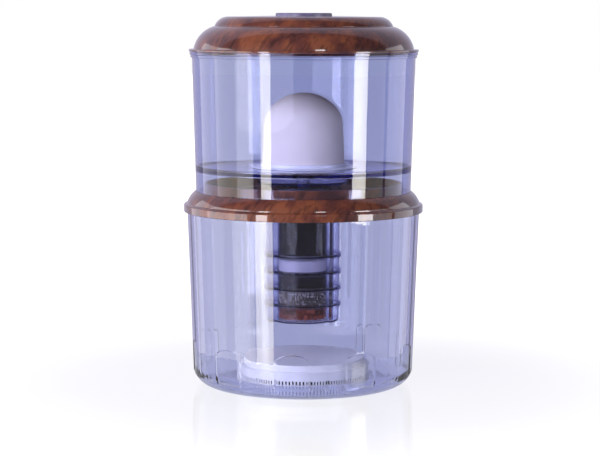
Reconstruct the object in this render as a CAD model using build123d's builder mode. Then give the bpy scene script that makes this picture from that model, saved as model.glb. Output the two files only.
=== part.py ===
from build123d import *
import math
import os

# A two-tier gravity water purifier pot. Lengths are millimetres. The pot stands
# on z = 0 with its axis on Z, and its front faces -Y.

os.makedirs("parts", exist_ok=True)

# Gaps that several pieces share
round_gap = 0.35  # between curved faces of pieces that lift apart
snug_gap = 0.15  # between curved faces inside one assembly
thread_gap = 0.10  # between a screwed piece and its thread
cut_overrun = 5.0  # how far a cutting shape runs past what it cuts

# Lower tank: a clear drafted tub with flat facets outside and a round inside
lower_height = 216.4
lower_rim_radius = 141.0
lower_draft = 8.0  # how far the wall leans in, down to where it would meet the base
lower_wall = 3.0
lower_floor = 3.5
lower_corner_radius = 24.0
facet_count = 40
facet_relief = 0.6  # how far the foot's rounding stands outside the facet corners
rim_overlap = 3.4  # round rim band, hidden by the ring

# Arched recesses round its foot
window_count = 10
window_facets = 2
window_inset = 0.5
window_spring = 49.0
window_rise = 6.0
window_depth = 1.1

# Raised pocket in its floor, and the outlet hole in the pocket's roof
pocket_radius = 30.0
pocket_depth = 9.5
outlet_hole_gap = 0.3

# Divider ring, a thick wood-look moulding that caps the lower tank
ring_wall = 3.8
ring_plug_wall = 2.6
ring_plug_depth = 5.0
ring_band_height = 9.0
ring_ledge_rise = 2.6
ring_shoulder_inset = 4.2
ring_shoulder_arc = 28.0
ring_rise = 19.4  # from the lower tank's rim to the seat of the upper tank
ring_seat_lip = 0.8
ring_collar_inset = 9.3  # from the upper tank's foot in to the collar
ring_collar_wall = 2.6
ring_collar_height = 10.5

# Upper tank: clear drafted tub, its floor set above the lower edge of its skirt
upper_height = 168.7
upper_inset = 10.7  # from the lower tank's rim in to the upper tank's foot
upper_draft = 4.5
upper_wall = 2.8
upper_floor = 3.0
upper_skirt = 25.6  # from the lower edge up to the floor's underside
upper_floor_round = 4.0
lip_reach = 2.8  # beyond the wall under it
lip_height = 4.0
lip_step_reach = 1.7
lip_step_height = 3.4

# Lid, a hollow moulding with a brim, a big shoulder and a low crowned tier
lid_wall = 2.6
lid_plug_wall = 2.2
lid_plug_depth = 3.0
brim_reach = 1.0  # beyond the upper tank's lip
brim_thickness = 2.6
shoulder_inset = 5.6  # from the brim's edge in to the shoulder
shoulder_arc = 35.3
tier_inset = 25.6  # from the shoulder's foot in to the tier
tier_foot = 30.2  # above the upper tank's lip
tier_step = 0.5
tier_arc = 17.4
tier_top_inset = 18.4
tier_rise = 11.2
crown_rise = 1.2

# Medallion set in the lid
medallion_radius = 34.0
medallion_recess = 0.8
medallion_height = 4.2
medallion_round = 1.6

# Ceramic dome
dome_radius = 50.0
dome_taper = 2.25
dome_shoulder = 46.6  # from the lower edge to where the rounding starts
dome_rise = 40.4
dome_wall = 8.0

# Base of the dome with its stem
base_flange_reach = 14.0  # beyond the dome
base_flange = 1.4
base_plate = 2.0
base_rim_wall = 2.6
base_rim_height = 2.2
base_floor_gap = 0.2
stem_radius = 8.0
stem_bore = 3.5
stem_length = 23.0  # below the upper tank's floor
spigot_radius = 6.5
spigot_height = 9.0
stem_hole_gap = 0.6

# Gasket above the floor, washer and nut below it
gasket_radius = 22.0
gasket_thickness = 1.5
washer_radius = 16.0
washer_thickness = 1.5
nut_sides = 6
nut_flats = 27.0
nut_height = 8.0

# Cartridge cap, screwed on the stem right under the floor
seal_thickness = 1.5
seal_width = 5.0
cap_radius = 57.0
cap_wall = 3.0
cap_height = 11.5
cap_floor = 2.5
cap_hub_wall = 4.5
cap_hub_depth = 7.5
cap_spigot_depth = 4.0

# Cups of the cartridge, each set in the collar of the one below
cup_radius = 44.5
cup_wall = 1.8
cup_floor = 1.6
cup_bottom_height = 19.2
cup_pitch = 19.9
cup_tall_height = 88.4
cup_collar_wall = 3.35
cup_collar_height = 5.0
cup_collar_drop = 1.2  # how far the collar hangs below the seat of the next cup
cup_flange_height = 2.5  # plain flange of the tall cup, right under the cap
well_radius = 34.0
well_wall = 1.5
cup_slot_count = 16
cup_slot_width = 1.6
cup_slot_inner = 9.0
cup_slot_outer = 29.0
pad_thickness = 3.0

# Free space above each bed, from its top up to the seat of the next cup
tall_head = 13.0
silica_head = 3.7
carbon_head = 3.6
sand_head = 1.7
ball_head = 2.5

# Mineral box on the lower tank's floor
box_radius = 80.5
box_wall = 1.8
box_floor = 1.9
box_height = 21.0
box_slot_count = 120
box_slot_width = 2.1
box_slot_height = 10.2
turret_radius = 38.0
turret_slot_count = 24
box_lid_flange = 1.5
box_tier_inset = 5.3
box_lid_height = 8.9  # from the base's rim to the top of the lid
box_lid_plate = 2.2
box_plug_depth = 4.0
box_plug_wall = 1.6
stones_height = 13.6

# Outlet valve in the pocket
outlet_wall = 2.0
outlet_bore = 9.0
outlet_radius = 12.7
outlet_recess = 1.0  # from the base up to the mouth
outlet_flange_radius = 20.0
outlet_flange = 2.5
outlet_gasket_thickness = 1.5
seat_bore = 6.0
seat_height = 2.0
seat_above_roof = 1.5  # from the pocket roof's upper face to the seat's face
outlet_nut_flats = 34.0
outlet_nut_height = 5.0
outlet_thread_spare = 1.5
poppet_radius = 8.4
poppet_disc = 2.5
poppet_stem_radius = 4.6
poppet_boss_radius = 4.4
poppet_boss = 1.8
poppet_seal_thickness = 1.2
cage_ring = 1.5
cage_spigot_wall = 0.9
cage_spigot_depth = 2.0
cage_height = 8.5  # from the sleeve's top to the roof's underside
cage_roof = 1.5
cage_leg_count = 4
cage_window_width = 12.0
spring_wire_radius = 0.45
spring_coil_radius = 6.0
spring_turns = 5

# Radii that follow from the pieces they fit
lower_foot_radius = lower_rim_radius - lower_draft
upper_foot_radius = lower_rim_radius - upper_inset
upper_rim_radius = upper_foot_radius + upper_draft
ring_collar_radius = upper_foot_radius - ring_collar_inset
lip_radius = upper_rim_radius + lip_reach
lip_step_radius = upper_rim_radius + lip_step_reach
brim_radius = lip_radius + brim_reach
shoulder_radius = brim_radius - shoulder_inset
tier_radius = shoulder_radius - tier_inset
tier_top_radius = tier_radius - tier_top_inset
dome_shoulder_radius = dome_radius - dome_taper
base_flange_radius = dome_radius + base_flange_reach
cup_collar_inside = cup_radius + snug_gap
cup_collar_radius = cup_collar_inside + cup_collar_wall
box_tier_radius = box_radius - box_tier_inset
outlet_hole_radius = outlet_radius + outlet_hole_gap

# Heights that follow from the stack of pieces
ring_foot_z = lower_height - rim_overlap
ring_seat_z = lower_height + ring_rise
upper_under_z = ring_seat_z + upper_skirt
upper_floor_z = upper_under_z + upper_floor
lip_z = ring_seat_z + upper_height
base_z = upper_floor_z + base_floor_gap
dome_z = base_z + base_flange + base_plate
cap_top_z = upper_under_z - seal_thickness
cap_floor_z = cap_top_z - cap_height
cup_top_z = cap_floor_z - cap_floor


def lower_radius(height):
    """Radius of the lower tank's facet corners at a height."""
    return lower_foot_radius + (lower_rim_radius - lower_foot_radius) * height / lower_height


def lower_inside(height):
    """Radius of the lower tank's round inside at a height."""
    return lower_radius(height) * math.cos(math.pi / facet_count) - lower_wall


def upper_radius(height):
    """Outer radius of the upper tank's wall at a height above its lower edge."""
    share = height / (upper_height - lip_height - lip_step_height)
    return upper_foot_radius + (upper_rim_radius - upper_foot_radius) * min(share, 1)


def save(piece, name):
    """Label one finished piece and write it to its own file."""
    piece.part.label = name
    export_step(piece.part, f"parts/{name}.step")
    print(name, "volume", round(piece.part.volume))


def ring_solid(inner, outer, low, high):
    """A plain flat ring round the axis, added to the piece being built."""
    with BuildSketch(Plane.XY.offset(low)) as section:
        Circle(outer)
        if inner:
            Circle(inner, mode=Mode.SUBTRACT)
    extrude(section.sketch, amount=high - low)


def cut_radial_slots(count, width, inner, outer, low, high):
    """Cut straight slots that point at the axis through the piece being built."""
    with BuildSketch(Plane.XY.offset(low)) as slots:
        with PolarLocations((inner + outer) / 2, count):
            Rectangle(outer - inner, width)
    extrude(slots.sketch, amount=high - low, mode=Mode.SUBTRACT)


# Lower tank

window_half = lower_foot_radius * math.sin(math.pi * window_facets / facet_count) - window_inset

with BuildPart() as window:
    with BuildSketch(Plane.XZ):
        with BuildLine():
            Polyline(
                (window_half, window_spring),
                (window_half, -cut_overrun),
                (-window_half, -cut_overrun),
                (-window_half, window_spring),
            )
            ThreePointArc(
                (-window_half, window_spring),
                (0, window_spring + window_rise),
                (window_half, window_spring),
            )
        make_face()
    extrude(amount=lower_rim_radius + cut_overrun)
    window_high = window_spring + window_rise + cut_overrun
    with BuildSketch(Plane.XZ):
        with BuildLine():
            Polyline(
                (0, -2 * cut_overrun),
                (lower_radius(-2 * cut_overrun) - window_depth, -2 * cut_overrun),
                (lower_radius(window_high) - window_depth, window_high),
                (0, window_high),
                close=True,
            )
        make_face()
    revolve(axis=Axis.Z, mode=Mode.SUBTRACT)

with BuildPart() as lower_tank:
    with BuildSketch():
        RegularPolygon(lower_radius(0), facet_count)
    with BuildSketch(Plane.XY.offset(ring_foot_z)):
        RegularPolygon(lower_radius(ring_foot_z), facet_count)
    loft(ruled=True)
    with BuildSketch(Plane.XY.offset(ring_foot_z)):
        Circle(lower_rim_radius)
    extrude(amount=rim_overlap)
    with BuildSketch(Plane.XZ) as foot_round:
        foot_corner = (lower_radius(0) + facet_relief, 0)
        with BuildLine():
            Polyline(
                (0, 0),
                foot_corner,
                (lower_radius(lower_height) + facet_relief, lower_height),
                (0, lower_height),
                close=True,
            )
        make_face()
        fillet(foot_round.vertices().sort_by_distance(foot_corner)[0], lower_corner_radius)
    revolve(axis=Axis.Z, mode=Mode.INTERSECT)
    with BuildSketch(Plane.XZ) as hollow:
        hollow_corner = (lower_inside(lower_floor), lower_floor)
        with BuildLine():
            Polyline(
                (0, lower_floor),
                hollow_corner,
                (lower_inside(lower_height), lower_height),
                (0, lower_height),
                close=True,
            )
        make_face()
        fillet(hollow.vertices().sort_by_distance(hollow_corner)[0], lower_corner_radius - lower_wall)
    revolve(axis=Axis.Z, mode=Mode.SUBTRACT)
    ring_solid(0, pocket_radius + lower_wall, 0, pocket_depth + lower_floor)
    with BuildSketch():
        Circle(pocket_radius)
    extrude(amount=pocket_depth, mode=Mode.SUBTRACT)
    with BuildSketch(Plane.XY.offset(pocket_depth)):
        Circle(outlet_hole_radius)
    extrude(amount=lower_floor, mode=Mode.SUBTRACT)
    with PolarLocations(0, window_count):
        add(window.part, mode=Mode.SUBTRACT)
save(lower_tank, "lower_tank")

# Divider ring

band_inside = lower_rim_radius + round_gap
band_radius = band_inside + ring_wall
plug_radius = lower_inside(lower_height - ring_plug_depth) - round_gap
band_top_z = ring_foot_z + ring_band_height
ledge_z = band_top_z + ring_ledge_rise
seat_radius = upper_foot_radius + round_gap
seat_lip_z = ring_seat_z + ring_seat_lip
collar_inside = ring_collar_radius - ring_collar_wall
collar_z = ring_seat_z + ring_collar_height

with BuildPart() as divider_ring:
    with BuildSketch(Plane.XZ):
        with BuildLine():
            Polyline(
                (band_inside, ring_foot_z),
                (band_radius, ring_foot_z),
                (band_radius, band_top_z),
                (band_radius - ring_shoulder_inset, ledge_z),
            )
            RadiusArc(
                (band_radius - ring_shoulder_inset, ledge_z),
                (seat_radius, seat_lip_z),
                -ring_shoulder_arc,
            )
            Polyline(
                (seat_radius, seat_lip_z),
                (seat_radius, ring_seat_z),
                (ring_collar_radius, ring_seat_z),
                (ring_collar_radius, collar_z),
                (collar_inside, collar_z),
                (collar_inside, ring_seat_z - ring_wall),
                (seat_radius - ring_wall, ring_seat_z - ring_wall),
                (plug_radius - ring_plug_wall, lower_height + ring_wall),
                (plug_radius - ring_plug_wall, lower_height - ring_plug_depth),
                (plug_radius, lower_height - ring_plug_depth),
                (plug_radius, lower_height),
                (band_inside, lower_height),
                (band_inside, ring_foot_z),
            )
        make_face()
    revolve(axis=Axis.Z)
save(divider_ring, "divider_ring")

# Upper tank

step_z = lip_z - lip_height
wall_top_z = step_z - lip_step_height
floor_inside = upper_radius(upper_skirt + upper_floor) - upper_wall
under_inside = upper_radius(upper_skirt) - upper_wall
upper_inside = upper_rim_radius - upper_wall

with BuildPart() as upper_tank:
    with BuildSketch(Plane.XZ) as upper_profile:
        with BuildLine():
            Polyline(
                (upper_foot_radius, ring_seat_z),
                (upper_rim_radius, wall_top_z),
                (lip_step_radius, wall_top_z),
                (lip_step_radius, step_z),
                (lip_radius, step_z),
                (lip_radius, lip_z),
                (upper_inside, lip_z),
                (upper_inside, wall_top_z),
                (floor_inside, upper_floor_z),
                (stem_radius + stem_hole_gap, upper_floor_z),
                (stem_radius + stem_hole_gap, upper_under_z),
                (under_inside, upper_under_z),
                (upper_foot_radius - upper_wall, ring_seat_z),
                close=True,
            )
        make_face()
        floor_corner = (floor_inside, upper_floor_z)
        fillet(upper_profile.vertices().sort_by_distance(floor_corner)[0], upper_floor_round)
    revolve(axis=Axis.Z)
save(upper_tank, "upper_tank")

# Lid

lid_plug_radius = upper_inside - round_gap
lid_inside = lid_plug_radius - lid_plug_wall
brim_z = lip_z + brim_thickness
tier_foot_z = lip_z + tier_foot
tier_z = tier_foot_z + tier_rise
crown_z = tier_z + crown_rise
recess_z = crown_z - medallion_recess

with BuildPart() as lid:
    with BuildSketch(Plane.XZ):
        with BuildLine():
            Polyline(
                (0, recess_z),
                (medallion_radius + snug_gap, recess_z),
                (medallion_radius + snug_gap, crown_z),
                (tier_top_radius, tier_z),
            )
            RadiusArc((tier_top_radius, tier_z), (tier_radius, tier_foot_z + tier_step), tier_arc)
            Line((tier_radius, tier_foot_z + tier_step), (tier_radius, tier_foot_z))
            RadiusArc((tier_radius, tier_foot_z), (shoulder_radius, brim_z), shoulder_arc)
            Polyline(
                (shoulder_radius, brim_z),
                (brim_radius, brim_z),
                (brim_radius, lip_z),
                (lid_plug_radius, lip_z),
                (lid_plug_radius, lip_z - lid_plug_depth),
                (lid_inside, lip_z - lid_plug_depth),
                (lid_inside, brim_z),
            )
            RadiusArc(
                (lid_inside, brim_z),
                (tier_radius - lid_wall, tier_foot_z - lid_wall),
                -(shoulder_arc - lid_wall),
            )
            Line(
                (tier_radius - lid_wall, tier_foot_z - lid_wall),
                (tier_radius - lid_wall, tier_foot_z + tier_step),
            )
            RadiusArc(
                (tier_radius - lid_wall, tier_foot_z + tier_step),
                (tier_top_radius, tier_z - lid_wall),
                -(tier_arc - lid_wall),
            )
            Polyline((tier_top_radius, tier_z - lid_wall), (0, crown_z - lid_wall), (0, recess_z))
        make_face()
    revolve(axis=Axis.Z)
save(lid, "lid")

with BuildPart() as lid_medallion:
    with BuildSketch(Plane.XY.offset(recess_z)):
        Circle(medallion_radius)
    extrude(amount=medallion_height)
    fillet(lid_medallion.faces().sort_by(Axis.Z)[-1].edges(), medallion_round)
save(lid_medallion, "lid_medallion")

# Ceramic dome, its base and what clamps it to the floor


def draw_dome(inset):
    """Half of the dome's outline, from its lower edge up to its top on the axis."""
    foot = dome_radius - inset
    radius = dome_shoulder_radius - inset
    rise = dome_rise - inset
    shoulder_z = dome_z + dome_shoulder
    # two tangent arcs that meet where both lean at 45 degrees
    lean = math.sqrt(2) - 1
    corner = (rise - lean * radius) / (1 - lean)
    crown = corner + (radius - corner) * math.sqrt(2)
    meeting = (radius - corner + corner / math.sqrt(2), shoulder_z + corner / math.sqrt(2))
    return [
        Line((foot, dome_z), (radius, shoulder_z)),
        RadiusArc((radius, shoulder_z), meeting, -corner),
        RadiusArc(meeting, (0, shoulder_z + rise), -crown),
    ]


dome_top_z = dome_z + dome_shoulder + dome_rise

with BuildPart() as ceramic_dome:
    with BuildSketch(Plane.XZ):
        with BuildLine():
            draw_dome(0)
            draw_dome(dome_wall)
            Line((dome_radius - dome_wall, dome_z), (dome_radius, dome_z))
            Line((0, dome_top_z - dome_wall), (0, dome_top_z))
        make_face()
    revolve(axis=Axis.Z)
save(ceramic_dome, "ceramic_dome")

rim_inside = dome_radius + snug_gap
rim_radius = rim_inside + base_rim_wall
stem_foot_z = upper_under_z - stem_length
gasket_top_z = upper_floor_z + gasket_thickness
washer_z = upper_under_z - washer_thickness

with BuildPart() as dome_base:
    ring_solid(0, base_flange_radius, base_z, base_z + base_flange)
    ring_solid(0, rim_radius, base_z, dome_z)
    ring_solid(rim_inside, rim_radius, dome_z, dome_z + base_rim_height)
    ring_solid(0, spigot_radius, dome_z, dome_z + spigot_height)
    with BuildSketch(Plane.XY.offset(base_z)):
        Circle(gasket_radius + snug_gap)
    extrude(amount=gasket_top_z - base_z, mode=Mode.SUBTRACT)
    ring_solid(0, stem_radius, stem_foot_z, gasket_top_z)
    with BuildSketch(Plane.XY.offset(stem_foot_z)):
        Circle(stem_bore)
    extrude(amount=dome_z + spigot_height - stem_foot_z, mode=Mode.SUBTRACT)
save(dome_base, "dome_base")

with BuildPart() as dome_gasket:
    ring_solid(stem_radius + snug_gap, gasket_radius, upper_floor_z, gasket_top_z)
save(dome_gasket, "dome_gasket")

with BuildPart() as stem_washer:
    ring_solid(stem_radius + snug_gap, washer_radius, washer_z, upper_under_z)
save(stem_washer, "stem_washer")

with BuildPart() as stem_nut:
    with BuildSketch(Plane.XY.offset(washer_z - nut_height)):
        RegularPolygon(nut_flats / 2, nut_sides, major_radius=False)
        Circle(stem_radius + thread_gap, mode=Mode.SUBTRACT)
    extrude(amount=nut_height)
save(stem_nut, "stem_nut")

# Cartridge: seal, cap, five cups and what they hold

with BuildPart() as cartridge_seal:
    ring_solid(cap_radius - seal_width, cap_radius, cap_top_z, upper_under_z)
save(cartridge_seal, "cartridge_seal")

with BuildPart() as cartridge_cap:
    cap_bore = stem_radius + thread_gap
    cap_spigot = cup_radius - cup_wall - snug_gap
    ring_solid(cap_radius - cap_wall, cap_radius, cap_floor_z, cap_top_z)
    ring_solid(cap_bore, cap_radius, cup_top_z, cap_floor_z)
    ring_solid(cap_bore, cap_bore + cap_hub_wall, cup_top_z - cap_hub_depth, cup_top_z)
    ring_solid(cap_spigot - cup_wall, cap_spigot, cup_top_z - cap_spigot_depth, cup_top_z)
save(cartridge_cap, "cartridge_cap")

well_inside = well_radius - well_wall
stages = [
    ("carbon_bed_1", cup_tall_height, tall_head),
    ("silica_bed", cup_pitch, silica_head),
    ("carbon_bed_2", cup_pitch, carbon_head),
    ("mineral_sand_bed", cup_pitch, sand_head),
    ("mineral_ball_bed", cup_bottom_height, ball_head),
]

seat_z = cup_top_z
for number, (bed_name, cup_height, head) in enumerate(stages, start=1):
    foot_z = seat_z - cup_height
    bed_foot_z = foot_z + cup_floor
    bed_top_z = seat_z - head
    collar_foot_z = seat_z - cup_collar_drop
    with BuildPart() as stage_cup:
        ring_solid(0, cup_radius, foot_z, bed_foot_z)
        ring_solid(cup_radius - cup_wall, cup_radius, foot_z, seat_z)
        ring_solid(well_inside, well_radius, foot_z, seat_z)
        if number == 1:
            ring_solid(cup_radius - cup_wall, cup_collar_radius, seat_z - cup_flange_height, seat_z)
        else:
            ring_solid(cup_radius - cup_wall, cup_collar_radius, collar_foot_z, seat_z)
            collar_top_z = collar_foot_z + cup_collar_height
            ring_solid(cup_collar_inside, cup_collar_radius, seat_z, collar_top_z)
        cut_radial_slots(
            cup_slot_count, cup_slot_width, cup_slot_inner, cup_slot_outer, foot_z, bed_foot_z
        )
    save(stage_cup, f"stage_cup_{number}")
    with BuildPart() as bed:
        ring_solid(0, well_inside - snug_gap, bed_foot_z, bed_top_z)
    save(bed, bed_name)
    if number == 1:
        with BuildPart() as prefilter_pad:
            ring_solid(0, well_inside - snug_gap, bed_top_z, bed_top_z + pad_thickness)
        save(prefilter_pad, "prefilter_pad")
    seat_z = foot_z

# Mineral box

box_rim_z = lower_floor + box_height
box_bed_z = lower_floor + box_floor
box_slot_top_z = box_bed_z + box_slot_height
box_top_z = box_rim_z + box_lid_height
plate_z = box_top_z - box_lid_plate
box_inside = box_radius - box_wall
turret_outside = turret_radius + box_wall

with BuildPart() as mineral_box_base:
    ring_solid(turret_radius, box_radius, lower_floor, box_bed_z)
    ring_solid(box_inside, box_radius, lower_floor, box_rim_z)
    ring_solid(turret_radius, turret_outside, lower_floor, plate_z - round_gap)
    cut_radial_slots(
        box_slot_count,
        box_slot_width,
        box_inside - box_wall,
        box_radius + box_wall,
        box_bed_z,
        box_slot_top_z,
    )
    cut_radial_slots(
        turret_slot_count,
        box_slot_width,
        turret_radius - box_wall,
        turret_outside + box_wall,
        box_bed_z,
        box_slot_top_z,
    )
save(mineral_box_base, "mineral_box_base")

with BuildPart() as mineral_box_lid:
    box_plug = box_inside - round_gap
    ring_solid(0, box_tier_radius, plate_z, box_top_z)
    ring_solid(box_tier_radius - box_wall, box_tier_radius, box_rim_z, box_top_z)
    ring_solid(box_tier_radius - box_wall, box_radius, box_rim_z, box_rim_z + box_lid_flange)
    ring_solid(box_plug - box_plug_wall, box_plug, box_rim_z - box_plug_depth, box_rim_z)
save(mineral_box_lid, "mineral_box_lid")

with BuildPart() as mineral_stones:
    ring_solid(
        turret_outside + round_gap, box_inside - round_gap, box_bed_z, box_bed_z + stones_height
    )
save(mineral_stones, "mineral_stones")

# Outlet valve: a sleeve clamped in the pocket's roof, with a sprung poppet in it

sleeve_top_z = pocket_depth + lower_floor + outlet_nut_height + outlet_thread_spare
flange_top_z = pocket_depth - outlet_gasket_thickness
seat_face_z = pocket_depth + lower_floor + seat_above_roof
seat_under_z = seat_face_z - seat_height
sleeve_inside = outlet_radius - outlet_wall

with BuildPart() as outlet_body:
    ring_solid(outlet_bore, outlet_radius, outlet_recess, seat_face_z)
    ring_solid(outlet_bore, outlet_flange_radius, flange_top_z - outlet_flange, flange_top_z)
    ring_solid(seat_bore, outlet_radius, seat_under_z, seat_face_z)
    ring_solid(sleeve_inside, outlet_radius, seat_face_z, sleeve_top_z)
save(outlet_body, "outlet_body")

with BuildPart() as outlet_gasket:
    ring_solid(outlet_radius + snug_gap, outlet_flange_radius, flange_top_z, pocket_depth)
save(outlet_gasket, "outlet_gasket")

with BuildPart() as outlet_nut:
    with BuildSketch(Plane.XY.offset(pocket_depth + lower_floor)):
        RegularPolygon(outlet_nut_flats / 2, nut_sides, major_radius=False)
        Circle(outlet_radius + thread_gap, mode=Mode.SUBTRACT)
    extrude(amount=outlet_nut_height)
save(outlet_nut, "outlet_nut")

disc_z = seat_face_z + poppet_seal_thickness
disc_top_z = disc_z + poppet_disc

with BuildPart() as outlet_poppet:
    ring_solid(0, poppet_radius, disc_z, disc_top_z)
    ring_solid(0, poppet_stem_radius, seat_under_z + thread_gap, disc_z)
    ring_solid(0, poppet_boss_radius, disc_top_z, disc_top_z + poppet_boss)
save(outlet_poppet, "outlet_poppet")

with BuildPart() as poppet_seal:
    ring_solid(poppet_stem_radius + snug_gap, poppet_radius, seat_face_z, disc_z)
save(poppet_seal, "poppet_seal")

cage_roof_z = sleeve_top_z + cage_height
cage_spigot = sleeve_inside - snug_gap

with BuildPart() as outlet_cage:
    ring_solid(cage_spigot - cage_spigot_wall, outlet_radius, sleeve_top_z, sleeve_top_z + cage_ring)
    ring_solid(
        cage_spigot - cage_spigot_wall, cage_spigot, sleeve_top_z - cage_spigot_depth, sleeve_top_z
    )
    ring_solid(sleeve_inside, outlet_radius, sleeve_top_z + cage_ring, cage_roof_z)
    cut_radial_slots(
        cage_leg_count,
        cage_window_width,
        sleeve_inside - outlet_wall,
        outlet_radius + outlet_wall,
        sleeve_top_z + cage_ring,
        cage_roof_z,
    )
    ring_solid(0, outlet_radius, cage_roof_z, cage_roof_z + cage_roof)
save(outlet_cage, "outlet_cage")

spring_foot_z = disc_top_z + spring_wire_radius + thread_gap
spring_height = cage_roof_z - spring_wire_radius - thread_gap - spring_foot_z
spring_pitch = spring_height / spring_turns
print("least gap between the spring's turns", round(spring_pitch - 2 * spring_wire_radius, 2))

with BuildPart() as outlet_spring:
    with BuildLine() as coil:
        Helix(spring_pitch, spring_height, spring_coil_radius, center=(0, 0, spring_foot_z))
    with BuildSketch(Plane(origin=coil.line @ 0, z_dir=coil.line % 0)):
        Circle(spring_wire_radius)
    sweep(is_frenet=True)
save(outlet_spring, "outlet_spring")
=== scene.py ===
import math

import bmesh
import bpy
from mathutils import Matrix, Vector


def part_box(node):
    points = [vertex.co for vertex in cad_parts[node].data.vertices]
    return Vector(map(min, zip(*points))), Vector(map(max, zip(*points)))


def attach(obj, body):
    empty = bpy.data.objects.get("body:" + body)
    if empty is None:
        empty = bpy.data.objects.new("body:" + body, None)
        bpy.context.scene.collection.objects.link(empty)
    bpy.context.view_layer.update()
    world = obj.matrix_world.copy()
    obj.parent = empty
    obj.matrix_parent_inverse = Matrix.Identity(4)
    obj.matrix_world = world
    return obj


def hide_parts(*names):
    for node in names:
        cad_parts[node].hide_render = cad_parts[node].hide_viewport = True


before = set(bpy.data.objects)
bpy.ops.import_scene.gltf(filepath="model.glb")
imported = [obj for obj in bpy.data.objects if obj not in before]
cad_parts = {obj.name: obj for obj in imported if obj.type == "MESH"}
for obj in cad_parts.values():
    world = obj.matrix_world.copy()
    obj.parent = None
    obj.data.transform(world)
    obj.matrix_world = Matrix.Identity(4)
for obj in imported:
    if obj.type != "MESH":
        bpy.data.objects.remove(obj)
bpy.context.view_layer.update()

# Lower tank: the clear tub that holds the filtered water. It is one moulding of tinted
# plastic, with 40 flat facets outside, a round inside, ten arched recesses round the foot
# and a pocket under the floor for the outlet.

mm = 0.001
tank_low, tank_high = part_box("lower_tank")
tank_height = tank_high.z
tank_rim = tank_high.x
tank_draft = 8 * mm
tank_foot = tank_rim - tank_draft
tank_lean = tank_draft / tank_height
tank_wall = 3 * mm
tank_floor = 3.5 * mm
tank_corner = 24 * mm
tank_rim_band = 3.4 * mm
tank_edge = 0.8 * mm
foot_relief = 0.6 * mm
facet_count = 40
facet_turn = 2 * math.pi / facet_count
facet_edge_turn = math.radians(0.6)
facet_edge_pull = 0.05 * mm
pocket_radius = 30 * mm
pocket_roof = 9.5 * mm
outlet_hole = 13 * mm
window_count = 10
window_half = math.radians(8.2)
window_spring = 49 * mm
window_rise = 6 * mm
window_depth = 1.1 * mm
window_slope = 1.1 * mm


def rounded(outline, steps=4):
    """The outline's points, with an arc in each corner that is given a radius."""
    points = []
    for index, (radius, height, *corner) in enumerate(outline):
        here = Vector((radius, height))
        if not corner:
            points.append(here)
            continue
        back = (Vector(outline[index - 1][:2]) - here).normalized()
        ahead = (Vector(outline[(index + 1) % len(outline)][:2]) - here).normalized()
        half = back.angle(ahead) / 2
        centre = here + (back + ahead).normalized() * (corner[0] / math.sin(half))
        reach = corner[0] / math.tan(half)
        first = here + back * reach - centre
        turn = first.angle_signed(here + ahead * reach - centre)
        for step in range(steps + 1):
            angle = -turn * step / steps
            cos, sin = math.cos(angle), math.sin(angle)
            points.append(
                centre + Vector((first.x * cos - first.y * sin, first.x * sin + first.y * cos))
            )
    return points


def sector(name, rows, columns, place, gaps=()):
    """One open-ended slice of a round piece. rows(column) gives the closed outline there, and
    place(column, radius) its angle. A gap is (outer row, inner row, first column, last column)
    and goes through the wall between two stretches of the outline."""
    mesh = bpy.data.meshes.new(name)
    build = bmesh.new()
    grid = []
    for column in range(columns):
        line = []
        for radius, height in rows(column):
            angle = place(column, radius)
            line.append(
                build.verts.new((radius * math.sin(angle), -radius * math.cos(angle), height))
            )
        grid.append(line)
    count = len(grid[0])
    cut = set()
    for outer, inner, first, last in gaps:
        for column in range(first, last):
            cut |= {(column, outer), (column, inner)}
            near, far = grid[column], grid[column + 1]
            build.faces.new((near[outer + 1], far[outer + 1], far[inner], near[inner]))
            build.faces.new((near[inner + 1], far[inner + 1], far[outer], near[outer]))
        for side, line in ((-1, grid[first]), (1, grid[last])):
            corners = (line[outer], line[outer + 1], line[inner], line[inner + 1])
            build.faces.new(corners[::side])
    for column in range(columns - 1):
        near, far = grid[column], grid[column + 1]
        for row in range(count):
            after = (row + 1) % count
            on_axis = near[row].co.xy.length + near[after].co.xy.length == 0
            if on_axis or (column, row) in cut:
                continue
            build.faces.new((near[row], far[row], far[after], near[after]))
    build.to_mesh(mesh)
    build.free()
    piece = bpy.data.objects.new(name, mesh)
    bpy.context.scene.collection.objects.link(piece)
    return piece


def geometry_tree(name, inputs):
    """An empty Geometry Nodes tree with named inputs, and what is needed to fill it."""
    tree = bpy.data.node_groups.new(name, "GeometryNodeTree")
    tree.is_modifier = True
    tree.interface.new_socket("Geometry", in_out="INPUT", socket_type="NodeSocketGeometry")
    for label, kind in inputs:
        tree.interface.new_socket(label, in_out="INPUT", socket_type=f"NodeSocket{kind}")
    tree.interface.new_socket("Geometry", in_out="OUTPUT", socket_type="NodeSocketGeometry")
    source = tree.nodes.new("NodeGroupInput")
    sink = tree.nodes.new("NodeGroupOutput")

    def add(kind, settings=(), **links):
        node = tree.nodes.new(kind)
        for key, value in dict(settings).items():
            setattr(node, key, value)
        for key, value in links.items():
            socket = node.inputs[key.replace("_", " ")]
            if isinstance(value, bpy.types.NodeSocket):
                tree.links.new(value, socket)
            else:
                socket.default_value = value
        return node

    return tree, source.outputs, sink.inputs, add


def run_tree(piece, tree, values):
    """Runs the tree on the piece with these inputs, and keeps the result as its plain mesh."""
    modifier = piece.modifiers.new(tree.name, "NODES")
    modifier.node_group = tree
    for item in tree.interface.items_tree:
        if item.item_type == "SOCKET" and item.in_out == "INPUT" and item.name in values:
            modifier[item.identifier] = values[item.name]
    bpy.context.view_layer.update()
    graph = bpy.context.evaluated_depsgraph_get()
    mesh = bpy.data.meshes.new_from_object(piece.evaluated_get(graph))
    piece.modifiers.clear()
    piece.data = mesh
    mesh.name = piece.name
    return piece


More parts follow.
